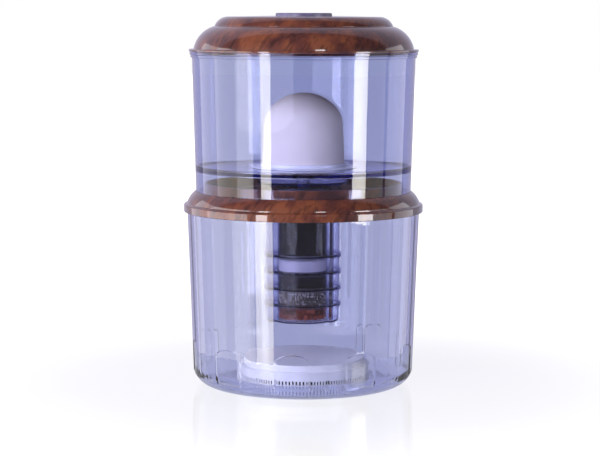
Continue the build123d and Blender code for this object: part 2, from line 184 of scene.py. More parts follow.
round_tree, source, sink, add = geometry_tree(
    "set_round_the_axis",
    [("Copies", "Int"), ("Join Distance", "Float"), ("Finish", "Material")],
)
places = add("GeometryNodeMeshLine", {"mode": "OFFSET"}, Count=source["Copies"], Offset=(0, 0, 0))
index = add("GeometryNodeInputIndex")
step = add("ShaderNodeMath", {"operation": "DIVIDE"})
step.inputs[0].default_value = 2 * math.pi
round_tree.links.new(source["Copies"], step.inputs[1])
turn = add("ShaderNodeMath", {"operation": "MULTIPLY"})
round_tree.links.new(index.outputs[0], turn.inputs[0])
round_tree.links.new(step.outputs[0], turn.inputs[1])
angles = add("ShaderNodeCombineXYZ", Z=turn.outputs[0])
copies = add(
    "GeometryNodeInstanceOnPoints",
    Points=places.outputs[0],
    Instance=source["Geometry"],
    Rotation=angles.outputs[0],
)
real = add("GeometryNodeRealizeInstances", Geometry=copies.outputs[0])
joined = add(
    "GeometryNodeMergeByDistance", Geometry=real.outputs[0], Distance=source["Join Distance"]
)
dressed = add("GeometryNodeSetMaterial", Geometry=joined.outputs[0], Material=source["Finish"])
round_tree.links.new(dressed.outputs[0], sink["Geometry"])
join_distance = 0.002 * mm


def finished(piece, body, slot, *nodes, sharp=math.radians(35), crease=None):
    """Shades the finished mesh, sets the piece on its body and hides what it stands for. Edges
    between two points for which crease is true stay sharp."""
    build = bmesh.new()
    build.from_mesh(piece.data)
    if build.calc_volume(signed=True) < 0:
        bmesh.ops.reverse_faces(build, faces=build.faces)
    build.to_mesh(piece.data)
    build.free()
    piece.data.shade_smooth()
    piece.data.set_sharp_from_angle(angle=sharp)
    points = piece.data.vertices
    for edge in piece.data.edges if crease else ():
        if all(crease(points[end].co) for end in edge.vertices):
            edge.use_edge_sharp = True
    modifier = piece.modifiers.new("even normals", "WEIGHTED_NORMAL")
    modifier.keep_sharp = True
    bpy.context.view_layer.update()
    graph = bpy.context.evaluated_depsgraph_get()
    mesh = bpy.data.meshes.new_from_object(piece.evaluated_get(graph))
    piece.modifiers.clear()
    piece.data = mesh
    mesh.name = piece.name
    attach(piece, body)
    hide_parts(*nodes)
    return piece


def plain_material(name, colour, roughness, **more):
    """A material whose shader sockets hold these plain values, and its node tree."""
    material = bpy.data.materials.new(name)
    material.use_nodes = True
    shader = material.node_tree.nodes["Principled BSDF"]
    shader.inputs["Base Color"].default_value = (*colour, 1)
    shader.inputs["Roughness"].default_value = roughness
    for key, value in more.items():
        shader.inputs[key.replace("_", " ")].default_value = value
    return material, material.node_tree, shader


def add_node(tree, kind, settings=(), **links):
    """A shader node with these settings, and with values or links on its inputs."""
    node = tree.nodes.new(kind)
    for key, value in dict(settings).items():
        setattr(node, key, value)
    for key, value in links.items():
        socket = node.inputs[key.replace("_", " ")]
        if isinstance(value, bpy.types.NodeSocket):
            tree.links.new(value, socket)
        else:
            socket.default_value = value
    return node


def clear_plastic(name, tint, lamp_tint, depth_tint, density, bend=1.5):
    """Clear tinted plastic that bends light and lets lamps reach what stands behind it."""
    material, tree, shader = plain_material(
        name,
        tint,
        0,
        Transmission_Weight=1,
        IOR=bend,
        Specular_Tint=(0.62, 0.6, 0.45, 1),
    )
    place = add_node(tree, "ShaderNodeTexCoord")
    flow = add_node(
        tree, "ShaderNodeTexNoise", Vector=place.outputs["Object"], Scale=30, Detail=1
    )
    bump = add_node(
        tree, "ShaderNodeBump", Height=flow.outputs["Fac"], Strength=0.02, Distance=0.002
    )
    tree.links.new(bump.outputs["Normal"], shader.inputs["Normal"])
    passing = add_node(tree, "ShaderNodeBsdfTransparent", Color=(*lamp_tint, 1))
    path = add_node(tree, "ShaderNodeLightPath")
    either = add_node(tree, "ShaderNodeMath", {"operation": "MAXIMUM"})
    tree.links.new(path.outputs["Is Shadow Ray"], either.inputs[0])
    tree.links.new(path.outputs["Is Diffuse Ray"], either.inputs[1])
    mix = add_node(tree, "ShaderNodeMixShader", Fac=either.outputs[0])
    tree.links.new(shader.outputs[0], mix.inputs[1])
    tree.links.new(passing.outputs[0], mix.inputs[2])
    depth = add_node(
        tree, "ShaderNodeVolumeAbsorption", Color=(*depth_tint, 1), Density=density
    )
    output = tree.nodes["Material Output"]
    tree.links.new(mix.outputs[0], output.inputs["Surface"])
    tree.links.new(depth.outputs[0], output.inputs["Volume"])
    return material


tank_plastic = clear_plastic(
    "clear_lilac_plastic", (0.735, 0.76, 0.895), (0.96, 0.96, 0.99), (0.27, 0.3, 0.8), 28
)


def facet_radius(angle, height):
    """Outer radius of the faceted wall, with its vertical edges eased."""
    from_edge = abs((angle + facet_turn / 2) % facet_turn - facet_turn / 2)
    flat = (tank_foot + tank_lean * height) * math.cos(facet_turn / 2)
    radius = flat / math.cos(facet_turn / 2 - from_edge)
    return radius - (facet_edge_pull if from_edge < facet_edge_turn / 2 else 0)


def arch_height(angle):
    """Height of the arched top of a recess, and of its springing outside the recess."""
    half_width = tank_foot * math.sin(window_half)
    arch_radius = (half_width**2 + window_rise**2) / (2 * window_rise)
    across = min(tank_foot * abs(math.sin(angle)), half_width)
    return window_spring + window_rise - arch_radius + math.sqrt(arch_radius**2 - across**2)


def foot_end(share, inset):
    """Angle on the rounded foot where a wall takes over that stands inset from its own cone."""
    centre = tank_foot + foot_relief + tank_lean * tank_corner
    centre -= tank_corner * math.hypot(1, tank_lean)
    lean = share * tank_lean * tank_corner
    reach = share * (tank_foot + tank_lean * tank_corner) - inset - centre
    return centre, -math.acos(reach / math.hypot(tank_corner, lean)) - math.atan2(lean, tank_corner)


def tank_inside(height):
    """Radius of the round inside."""
    return (tank_foot + tank_lean * height) * math.cos(facet_turn / 2) - tank_wall


half_columns = [0, 0.6, 1.5, 2.5, 3.5, 4.5, 5.5, 6.5, 7.3, 8]
half_columns += [8.9, 9, 9.6, 11, 12.3, 13.5, 14.7, 16, 17.4, 18]
tank_turns = [math.radians(-turn) for turn in half_columns[:0:-1]]
tank_turns += [math.radians(turn) for turn in half_columns]
foot_steps = 8
tank_hidden = rounded(
    [
        (outlet_hole, pocket_roof),
        (pocket_radius, pocket_roof, tank_edge),
        (pocket_radius, 0, tank_edge),
    ]
)
tank_top = rounded(
    [
        (tank_rim, tank_height - tank_rim_band),
        (tank_rim, tank_height, tank_edge),
        (tank_inside(tank_height), tank_height, tank_edge),
        (tank_inside(tank_floor), tank_floor, tank_corner - tank_wall),
        (pocket_radius + tank_wall, tank_floor, tank_edge),
        (pocket_radius + tank_wall, pocket_roof + tank_floor, tank_edge),
        (outlet_hole, pocket_roof + tank_floor),
    ],
    steps=8,
)


def tank_rows(column):
    """The tank's closed outline in one column of its slice."""
    angle = tank_turns[column]
    recessed = abs(angle) < window_half
    share = facet_radius(angle, 0) / tank_foot
    centre, end = foot_end(1 if recessed else share, window_depth if recessed else 0)
    rows = list(tank_hidden)
    for step in range(foot_steps + 1):
        lean = -math.pi / 2 + (end + math.pi / 2) * step / foot_steps
        rows.append(
            Vector((centre + tank_corner * math.cos(lean), tank_corner * (1 + math.sin(lean))))
        )
    top = arch_height(angle)
    radius = tank_foot + tank_lean * top - window_depth if recessed else facet_radius(angle, top)
    rows.append(Vector((radius, top)))
    for height in (top + window_slope, tank_height - tank_rim_band):
        rows.append(Vector((facet_radius(angle, height), height)))
    return rows + tank_top


tank = sector(
    "lower_tank_shell", tank_rows, len(tank_turns), lambda column, radius: tank_turns[column]
)
run_tree(
    tank,
    round_tree,
    {"Copies": window_count, "Join Distance": join_distance, "Finish": tank_plastic},
)


def facet_corner(point):
    """True on the upright lines that bound the eased edge between two facets."""
    from_edge = (math.atan2(point.x, -point.y) + facet_turn / 2) % facet_turn - facet_turn / 2
    outside = math.hypot(point.x, point.y) > tank_inside(point.z) + tank_wall / 2
    return outside and abs(from_edge) < 1.1 * facet_edge_turn


finished(
    tank, "lower_tank", "tank_plastic", "lower_tank", sharp=math.radians(30), crease=facet_corner
)

# Outlet valve: a sprung poppet in the pocket under the tank's floor, which lets the water
# down when the pot is set on its stand. Its moulded pieces are clamped by a nut.


def surface_grain(tree, shader, size, depth, strength=0.3, detail=3):
    """Fine unevenness of a moulded, fired or pressed surface, as bump."""
    place = add_node(tree, "ShaderNodeTexCoord")
    grain = add_node(
        tree, "ShaderNodeTexNoise", Vector=place.outputs["Object"], Scale=1 / size, Detail=detail
    )
    bump = add_node(
        tree, "ShaderNodeBump", Height=grain.outputs["Fac"], Strength=strength, Distance=depth
    )
    tree.links.new(bump.outputs["Normal"], shader.inputs["Normal"])


def drift(tree, shades, size, detail=3, low=0.4, high=0.6, stretch=(1, 1, 1)):
    """A colour that drifts between shades over patches of this size."""
    place = add_node(tree, "ShaderNodeTexCoord")
    turned = add_node(tree, "ShaderNodeMapping", Vector=place.outputs["Object"], Scale=stretch)
    patch = add_node(
        tree, "ShaderNodeTexNoise", Vector=turned.outputs[0], Scale=1 / size, Detail=detail
    )
    ramp = add_node(tree, "ShaderNodeValToRGB", Fac=patch.outputs["Fac"])
    stops = ramp.color_ramp.elements
    stops[0].position, stops[1].position = low, high
    stops[0].color, stops[1].color = (*shades[0], 1), (*shades[-1], 1)
    for number, shade in enumerate(shades[1:-1], start=1):
        stop = stops.new(low + (high - low) * number / (len(shades) - 1))
        stop.color = (*shade, 1)
    return ramp.outputs["Color"]


def dress(finish, *nodes):
    """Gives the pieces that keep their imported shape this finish."""
    for node in nodes:
        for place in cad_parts[node].material_slots:
            place.material = finish


valve_plastic, tree, shader = plain_material("valve_plastic", (0.8, 0.8, 0.83), 0.35)
valve_shades = [(0.74, 0.74, 0.78), (0.84, 0.84, 0.87)]
tree.links.new(drift(tree, valve_shades, 4 * mm), shader.inputs["Base Color"])
surface_grain(tree, shader, 0.6 * mm, 0.1 * mm)
dress(valve_plastic, "outlet_body", "outlet_nut", "outlet_cage", "outlet_poppet")

silicone, tree, shader = plain_material(
    "silicone", (0.7, 0.71, 0.74), 0.55, Subsurface_Weight=0.2, Subsurface_Scale=2 * mm
)
silicone_shades = [(0.64, 0.65, 0.69), (0.76, 0.77, 0.8)]
tree.links.new(drift(tree, silicone_shades, 3 * mm), shader.inputs["Base Color"])
surface_grain(tree, shader, 0.5 * mm, 0.1 * mm)
dress(silicone, "outlet_gasket", "poppet_seal", "dome_gasket", "stem_washer", "cartridge_seal")

spring_steel, tree, shader = plain_material("spring_steel", (0.6, 0.6, 0.62), 0.3, Metallic=1)
steel_shades = [(0.5, 0.5, 0.52), (0.68, 0.68, 0.7)]
tree.links.new(drift(tree, steel_shades, 0.4 * mm, detail=5), shader.inputs["Base Color"])
surface_grain(tree, shader, 0.1 * mm, 0.02 * mm)
dress(spring_steel, "outlet_spring")

# Mineral box, lower half: a round tray of cloudy plastic that stands loose on the tank's
# floor. Its wall has 120 upright slots, and the turret in its middle covers the outlet.

box_low, box_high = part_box("mineral_box_base")
box_radius = box_high.x
box_wall = 1.8 * mm
box_inside = box_radius - box_wall
box_bed = box_low.z + 1.9 * mm
box_rim = box_low.z + 21 * mm
box_edge = 0.4 * mm
turret_radius = 38 * mm
turret_outside = turret_radius + box_wall
slot_width = 2.1 * mm
slot_top = box_bed + 10.2 * mm
wall_slots_each = 5
box_slices = 24
slot_pitch = 2 * math.pi / box_slices / wall_slots_each
box_plastic, tree, shader = plain_material(
    "cloudy_box_plastic",
    (0.93, 0.93, 0.96),
    0.3,
    Transmission_Weight=0.15,
    IOR=1.49,
    Coat_Weight=0.3,
    Coat_Roughness=0.1,
)
box_shades = [(0.9, 0.9, 0.94), (0.96, 0.96, 0.98)]
tree.links.new(drift(tree, box_shades, 12 * mm), shader.inputs["Base Color"])
surface_grain(tree, shader, 0.8 * mm, 0.05 * mm)


def box_place(column, radius):
    """Angle of a column of the tray's slice: its borders, and the two sides of each slot."""
    if column in (0, 2 * wall_slots_each + 1):
        return math.copysign(math.pi / box_slices, column - 1)
    slot = (column - 1) // 2 - wall_slots_each // 2
    half = math.asin(slot_width / 2 / max(radius, turret_radius))
    if slot:
        half = min(half, 0.3 * slot_pitch)
    return slot * slot_pitch + half * (1 if column % 2 == 0 else -1)


box_rows = rounded(
    [
        (turret_outside, box_low.z),
        (box_radius, box_low.z, box_edge),
        (box_radius, box_bed),
        (box_radius, slot_top),
        (box_radius, box_rim, box_edge),
        (box_inside, box_rim, box_edge),
        (box_inside, slot_top),
        (box_inside, box_bed),
        (turret_outside, box_bed),
        (turret_outside, slot_top),
        (turret_outside, box_high.z, box_edge),
        (turret_radius, box_high.z, box_edge),
        (turret_radius, slot_top),
        (turret_radius, box_bed),
        (turret_radius, box_low.z),
    ]
)


def row_at(rows, radius, height):
    """Number of the outline's point that is nearest to this place."""
    here = Vector((radius, height))
    return min(range(len(rows)), key=lambda row: (rows[row] - here).length)


wall_slot = (row_at(box_rows, box_radius, box_bed), row_at(box_rows, box_inside, slot_top))
turret_slot = (
    row_at(box_rows, turret_outside, box_bed),
    row_at(box_rows, turret_radius, slot_top),
)
middle_column = wall_slots_each
box_gaps = [(*wall_slot, column, column + 1) for column in range(1, 2 * wall_slots_each, 2)]
box_gaps.append((*turret_slot, middle_column, middle_column + 1))
box_base = sector(
    "mineral_box_tray",
    lambda column: box_rows,
    2 * wall_slots_each + 2,
    box_place,
    gaps=box_gaps,
)
run_tree(
    box_base,
    round_tree,
    {"Copies": box_slices, "Join Distance": join_distance, "Finish": box_plastic},
)
finished(box_base, "mineral_box", "box_plastic", "mineral_box_base")

# Mineral stones: a charge of washed grey pebbles that lies in the tray round the turret.


def grain_tree_for(name, source_points):
    """A tree that sets rough or round grains on points, over a core that fills the middle."""
    tree, source, sink, add = geometry_tree(
        name,
        [
            ("Grain Radius", "Float"),
            ("Grain Faces", "Int"),
            ("Spacing", "Float"),
            ("Least Size", "Float"),
            ("Flatness", "Float"),
            ("Seed", "Int"),
            ("Finish", "Material"),
        ],
    )
    points = source_points(add, source)
    grain = add(
        "GeometryNodeMeshIcoSphere",
        Radius=source["Grain Radius"],
        Subdivisions=source["Grain Faces"],
    )
    turns = add("FunctionNodeRandomValue", {"data_type": "FLOAT_VECTOR"}, Seed=source["Seed"])
    turns.inputs["Max"].default_value = (2 * math.pi, 2 * math.pi, 2 * math.pi)
    least = add("ShaderNodeCombineXYZ", X=source["Least Size"], Y=source["Least Size"])
    tree.links.new(source["Flatness"], least.inputs["Z"])
    sizes = add("FunctionNodeRandomValue", {"data_type": "FLOAT_VECTOR"}, Seed=source["Seed"])
    tree.links.new(least.outputs[0], sizes.inputs["Min"])
    sizes.inputs["Max"].default_value = (1, 1, 1)
    grains = add(
        "GeometryNodeInstanceOnPoints",
        Points=points,
        Instance=grain.outputs["Mesh"],
        Rotation=turns.outputs["Value"],
        Scale=sizes.outputs["Value"],
    )
    shade = add("FunctionNodeRandomValue", {"data_type": "FLOAT"}, Seed=source["Seed"])
    marked = add(
        "GeometryNodeStoreNamedAttribute",
        {"data_type": "FLOAT", "domain": "INSTANCE"},
        Geometry=grains.outputs[0],
        Name="grain_shade",
    )
    tree.links.new(
        next(out for out in shade.outputs if out.enabled),
        next(way for way in marked.inputs if way.name == "Value" and way.enabled),
    )
    together = add("GeometryNodeJoinGeometry")
    tree.links.new(marked.outputs[0], together.inputs[0])
    tree.links.new(source["Geometry"], together.inputs[0])
    real = add("GeometryNodeRealizeInstances", Geometry=together.outputs[0])
    dressed = add("GeometryNodeSetMaterial", Geometry=real.outputs[0], Material=source["Finish"])
    tree.links.new(dressed.outputs[0], sink["Geometry"])
    return tree


def scattered(add, source):
    """Points strewn over the faces, no nearer to each other than the spacing."""
    strewn = add(
        "GeometryNodeDistributePointsOnFaces",
        {"distribute_method": "POISSON"},
        Mesh=source["Geometry"],
        Seed=source["Seed"],
    )
    strewn.inputs["Distance Min"].default_value = 1
    strewn.id_data.links.new(source["Spacing"], strewn.inputs["Distance Min"])
    strewn.inputs["Density Max"].default_value = 5e6
    return strewn.outputs["Points"]


strewn_tree = grain_tree_for("grains_strewn_on_a_bed", scattered)


def lathed(name, outline, finish, copies=36, steps=4):
    """A round piece whose closed outline runs anticlockwise, seen with the axis on its left."""
    slice_turn = 2 * math.pi / copies
    piece = sector(
        name,
        lambda column: outline,
        steps + 1,
        lambda column, radius: slice_turn * (column / steps - 1 / 2),
    )
    return run_tree(
        piece,
        round_tree,
        {"Copies": copies, "Join Distance": join_distance, "Finish": finish},
    )


def grain_finish(name, shades, roughness, size, depth):
    """Loose grains whose colour differs from one to the next."""
    material, tree, shader = plain_material(
        name, shades[0], roughness, Specular_IOR_Level=0.1
    )
    own = add_node(tree, "ShaderNodeAttribute", {"attribute_name": "grain_shade"})
    ramp = add_node(tree, "ShaderNodeValToRGB", Fac=own.outputs["Fac"])
    stops = ramp.color_ramp.elements
    stops[0].color, stops[1].color = (*shades[0], 1), (*shades[-1], 1)
    for number, shade in enumerate(shades[1:-1], start=1):
        stops.new(number / (len(shades) - 1)).color = (*shade, 1)
    tree.links.new(ramp.outputs["Color"], shader.inputs["Base Color"])
    surface_grain(tree, shader, size, depth)
    return material


def bed(name, outline, finish, grain, spacing, least, flat, seed, faces=1):
    """A core with this outline, with grains strewn over all of its surface."""
    core = lathed(name, outline, finish, copies=24, steps=2)
    return run_tree(
        core,
        strewn_tree,
        {
            "Grain Radius": grain,
            "Grain Faces": faces,
            "Spacing": spacing,
            "Least Size": least,
            "Flatness": flat,
            "Seed": seed,
            "Finish": finish,
        },
    )


stones_low, stones_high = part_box("mineral_stones")
pebble = 2.6 * mm
stones_inner = turret_outside + 0.35 * mm + pebble
stones_outer = stones_high.x - pebble
stones_finish = grain_finish(
    "grey_pebbles",
    [(0.015, 0.015, 0.03), (0.04, 0.04, 0.06), (0.1, 0.1, 0.12)],
    0.5,
    1.5 * mm,
    0.2 * mm,
)
stones = bed(
    "washed_pebbles",
    rounded(
        [
            (stones_inner, stones_low.z + pebble, 1 * mm),
            (stones_outer, stones_low.z + pebble, 1 * mm),
            (stones_outer, stones_high.z - pebble, 1 * mm),
            (stones_inner, stones_high.z - pebble, 1 * mm),
        ]
    ),
    stones_finish,
    pebble,
    3.6 * mm,
    0.75,
    0.55,
    seed=3,
    faces=2,
)
finished(stones, "mineral_box", "stones", "mineral_stones", sharp=math.radians(80))

# Mineral box, upper half: a stepped lid of the same cloudy plastic, pushed into the tray.

lid_box_low, lid_box_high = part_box("mineral_box_lid")
box_tier = box_radius - 5.3 * mm
box_plate = lid_box_high.z - 2.2 * mm
box_plug = box_inside - 0.35 * mm
box_plug_inside = box_plug - 1.6 * mm
box_flange = box_rim + 1.5 * mm
box_lid = lathed(
    "mineral_box_cover",
    rounded(
        [
            (0, box_plate),
            (box_tier - box_wall, box_plate, 0.8 * mm),
            (box_tier - box_wall, box_rim),
            (box_plug_inside, box_rim),
            (box_plug_inside, lid_box_low.z),
            (box_plug, lid_box_low.z, box_edge),
            (box_plug, box_rim),
            (box_radius, box_rim, box_edge),
            (box_radius, box_flange, box_edge),
            (box_tier, box_flange, box_edge),
            (box_tier, lid_box_high.z, 1.2 * mm),
            (0, lid_box_high.z),
        ]
    ),
    box_plastic,
)
finished(box_lid, "mineral_box_lid", "box_plastic", "mineral_box_lid")

# Divider ring: a thick wood-look moulding that caps the lower tank. A collar inside it
# locates the upper tank, and a plug under it fits the lower tank's mouth.

ring_low, ring_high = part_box("divider_ring")
ring_band = ring_high.x
ring_inside = tank_rim + 0.35 * mm
ring_wall = ring_band - ring_inside
band_top = ring_low.z + 9 * mm
ledge = band_top + 2.6 * mm
ledge_step = 0.8 * mm
ring_seat = tank_height + 19.4 * mm
seat_radius = tank_rim - 10.7 * mm + 0.35 * mm
collar_radius = seat_radius - 9.65 * mm
collar_inside = collar_radius - 2.6 * mm
plug_low = tank_height - 5 * mm
plug_radius = tank_inside(plug_low) - 0.35 * mm
plug_inside = plug_radius - 2.6 * mm
ring_arc = 28 * mm


def arc_between(first, second, radius, steps):
    """Points of the arc that bulges to the right on the way between two points."""
    first, second = Vector(first), Vector(second)
    middle = (first + second) / 2
    along = second - first
    reach = math.sqrt(max(radius**2 - along.length_squared / 4, 0))
    side = Vector((-along.y, along.x)).normalized() * math.copysign(reach, radius)
    centre = middle + side
    start = first - centre
    turn = start.angle_signed(second - centre)
    points = []
    for step in range(1, steps):
        angle = -turn * step / steps
        cos, sin = math.cos(angle), math.sin(angle)
        points.append((centre.x + start.x * cos - start.y * sin, centre.y + start.x * sin + start.y * cos))
    return points


wood, tree, shader = plain_material(
    "walnut_look_plastic",
    (0.14, 0.045, 0.025),
    0.25,
    Specular_IOR_Level=0.1,
    Coat_Weight=1,
    Coat_IOR=1.5,
    Coat_Roughness=0.04,
)
wood_patches = drift(
    tree,
    [(0.075, 0.024, 0.02), (0.11, 0.032, 0.022), (0.165, 0.05, 0.025)],
    22 * mm,
    detail=2,
    low=0.38,
    high=0.62,
    stretch=(1, 1, 0.6),
)
wood_place = add_node(tree, "ShaderNodeTexCoord")
wood_lean = add_node(
    tree,
    "ShaderNodeMapping",
    {"vector_type": "TEXTURE"},
    Vector=wood_place.outputs["Object"],
    Rotation=(math.radians(-14), math.radians(32), 0),
    Scale=(1, 1, 4.5),
)
wood_streaks = add_node(
    tree,
    "ShaderNodeTexNoise",
    Vector=wood_lean.outputs[0],
    Scale=1 / (5 * mm),
    Detail=4,
    Roughness=0.6,
    Distortion=0.4,
)
streak_ramp = add_node(tree, "ShaderNodeValToRGB", Fac=wood_streaks.outputs["Fac"])
streak_stops = streak_ramp.color_ramp.elements
streak_stops[0].position, streak_stops[1].position = 0.34, 0.52
streak_stops[0].color, streak_stops[1].color = (0.5, 0.56, 0.66, 1), (1, 1, 1, 1)
wood_mix = add_node(
    tree, "ShaderNodeMix", {"data_type": "RGBA", "blend_type": "MULTIPLY"}
)
wood_mix.inputs[0].default_value = 1
tree.links.new(wood_patches, wood_mix.inputs[6])
tree.links.new(streak_ramp.outputs["Color"], wood_mix.inputs[7])
tree.links.new(wood_mix.outputs[2], shader.inputs["Base Color"])

ring_start = (ring_band - 4.2 * mm, ledge)
ring_end = (seat_radius, ring_seat + 0.8 * mm)
ring = lathed(
    "walnut_ring",
    rounded(
        [
            (ring_inside, ring_low.z, 0.4 * mm),
            (ring_band, ring_low.z, 0.8 * mm),
            (ring_band, band_top, 2.4 * mm),
            (ring_start[0], ledge - ledge_step, 0.2 * mm),
            ring_start,
            *arc_between(ring_start, ring_end, ring_arc, 10),
            (*ring_end, 0.3 * mm),
            (seat_radius, ring_seat),
            (collar_radius, ring_seat),
            (collar_radius, ring_high.z, 0.6 * mm),
            (collar_inside, ring_high.z, 0.6 * mm),
            (collar_inside, ring_seat - ring_wall, 0.8 * mm),
            (seat_radius - ring_wall, ring_seat - ring_wall, 1.5 * mm),
            (plug_inside, tank_height + ring_wall, 0.8 * mm),
            (plug_inside, plug_low, 0.5 * mm),
            (plug_radius, plug_low, 0.5 * mm),
            (plug_radius, tank_height),
            (ring_inside, tank_height),
        ]
    ),
    wood,
    steps=5,
)
finished(ring, "divider_ring", "wood_look_plastic", "divider_ring", sharp=math.radians(40))

# Upper tank: the clear tub that takes the raw water. It is one moulding with a doubled lip,
# a floor set above the lower edge of its skirt, and a hole in the floor for the dome's stem.

upper_low, upper_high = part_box("upper_tank")
upper_foot = seat_radius - 0.35 * mm
upper_wall = 2.8 * mm
lip_step = upper_high.z - 4 * mm
wall_top = lip_step - 3.4 * mm
upper_rim = upper_foot + 4.5 * mm
lip_inside = upper_rim - upper_wall
floor_under = upper_low.z + 25.6 * mm
floor_top = floor_under + 3 * mm
stem_hole = 8.6 * mm


def upper_outside(height):
    """Outer radius of the upper tank's wall."""
    return upper_foot + 4.5 * mm * (height - upper_low.z) / (wall_top - upper_low.z)


upper_plastic = clear_plastic(
    "clear_blue_plastic", (0.67, 0.705, 0.875), (0.96, 0.96, 0.99), (0.25, 0.25, 0.78), 36
)
upper = lathed(
    "upper_tank_shell",
    rounded(
        [
            (upper_foot - upper_wall, upper_low.z, 0.5 * mm),
            (upper_foot, upper_low.z, 0.8 * mm),
            (upper_rim, wall_top),
            (upper_rim + 1.7 * mm, wall_top, 0.5 * mm),
            (upper_rim + 1.7 * mm, lip_step, 0.3 * mm),
            (upper_high.x, lip_step, 0.5 * mm),
            (upper_high.x, upper_high.z, 0.6 * mm),
            (lip_inside, upper_high.z, 0.6 * mm),
            (lip_inside, wall_top),
            (upper_outside(floor_top) - upper_wall, floor_top, 4 * mm),
            (stem_hole, floor_top, 0.3 * mm),
            (stem_hole, floor_under, 0.3 * mm),
            (upper_outside(floor_under) - upper_wall, floor_under, 1.2 * mm),
        ]
    ),
    upper_plastic,
    steps=5,
)
finished(upper, "upper_tank", "tank_plastic", "upper_tank")

# Dome base: the white plastic foot of the ceramic dome, with a hollow threaded stem that goes
# through the tank's floor and carries the cartridge.

base_low, base_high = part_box("dome_base")
dome_low, dome_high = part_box("ceramic_dome")
dome_radius = dome_high.x
flange_low = floor_top + 0.2 * mm
flange_high = flange_low + 1.4 * mm
plate_high = dome_low.z
rim_inside = dome_radius + 0.15 * mm
rim_outside = rim_inside + 2.6 * mm
stem_radius = 8 * mm
stem_bore = 3.5 * mm
spigot_radius = 6.5 * mm
gasket_recess = 22.15 * mm
gasket_top = floor_top + 1.5 * mm
thread_pitch = 2 * mm
thread_depth = 0.7 * mm
base_plastic, tree, shader = plain_material(
    "white_base_plastic", (0.8, 0.81, 0.86), 0.3, Coat_Weight=0.4, Coat_Roughness=0.1
)
base_shades = [(0.74, 0.75, 0.81), (0.84, 0.85, 0.9)]
tree.links.new(drift(tree, base_shades, 10 * mm), shader.inputs["Base Color"])
surface_grain(tree, shader, 0.7 * mm, 0.05 * mm)
thread = []
thread_z = base_low.z + thread_pitch
while thread_z < floor_under - thread_pitch:
    thread += [
        (stem_radius, thread_z),
        (stem_radius - thread_depth, thread_z + 0.4 * thread_pitch),
        (stem_radius - thread_depth, thread_z + 0.5 * thread_pitch),
        (stem_radius, thread_z + 0.9 * thread_pitch),
    ]
    thread_z += thread_pitch
base = lathed(
    "dome_foot",
    rounded(
        [
            (stem_bore, base_low.z, 0.3 * mm),
            (stem_radius, base_low.z, 0.5 * mm),
            *thread,
            (stem_radius, gasket_top),
            (gasket_recess, gasket_top),
            (gasket_recess, flange_low),
            (base_high.x, flange_low, 0.4 * mm),
            (base_high.x, flange_high, 0.6 * mm),
            (rim_outside, flange_high, 0.8 * mm),
            (rim_outside, plate_high + 2.2 * mm, 0.5 * mm),
            (rim_inside, plate_high + 2.2 * mm, 0.3 * mm),
            (rim_inside, plate_high),
            (spigot_radius, plate_high, 0.5 * mm),
            (spigot_radius, plate_high + 9 * mm, 0.5 * mm),
            (stem_bore, plate_high + 9 * mm, 0.3 * mm),
        ]
    ),
    base_plastic,
)
finished(base, "upper_tank", "base_plastic", "dome_base")

# Ceramic dome: the fired filter candle, unglazed and hollow, glued into the rim of its base.

dome_shoulder = dome_radius - 2.25 * mm
dome_shoulder_z = dome_low.z + 46.6 * mm
dome_rise = dome_high.z - dome_shoulder_z
dome_wall = 8 * mm


def dome_line(inset):
    """The dome's line from its foot to its top, this far inside its skin."""
    radius, rise = dome_shoulder - inset, dome_rise - inset
    lean = math.sqrt(2) - 1
    corner = (rise - lean * radius) / (1 - lean)
    crown = corner + (radius - corner) * math.sqrt(2)
    meeting = (
        radius - corner + corner / math.sqrt(2),
        dome_shoulder_z + corner / math.sqrt(2),
    )
    shoulder, top = (radius, dome_shoulder_z), (0, dome_shoulder_z + rise)
    return [
        (dome_radius - inset, dome_low.z),
        shoulder,
        *arc_between(shoulder, meeting, corner, 12),
        meeting,
        *arc_between(meeting, top, crown, 12),
        top,
    ]


ceramic, tree, shader = plain_material(
    "fired_ceramic", (0.83, 0.75, 0.7), 0.75, Specular_IOR_Level=0.25
)
ceramic_shades = [(0.8, 0.73, 0.7), (0.84, 0.77, 0.74)]
tree.links.new(drift(tree, ceramic_shades, 25 * mm, detail=5), shader.inputs["Base Color"])
surface_grain(tree, shader, 0.5 * mm, 0.15 * mm, strength=0.4)
dome = lathed(
    "ceramic_candle",
    [Vector(point) for point in dome_line(0) + dome_line(dome_wall)[::-1]],
    ceramic,
)
finished(dome, "upper_tank", "dome_ceramic", "ceramic_dome", sharp=math.radians(50))

# Stem nut: a hexagonal nut of the same plastic as the base, tightened under the floor.

dress(base_plastic, "stem_nut")

# Cartridge cap: the wide clear cap that screws on the stem right under the tank's floor.

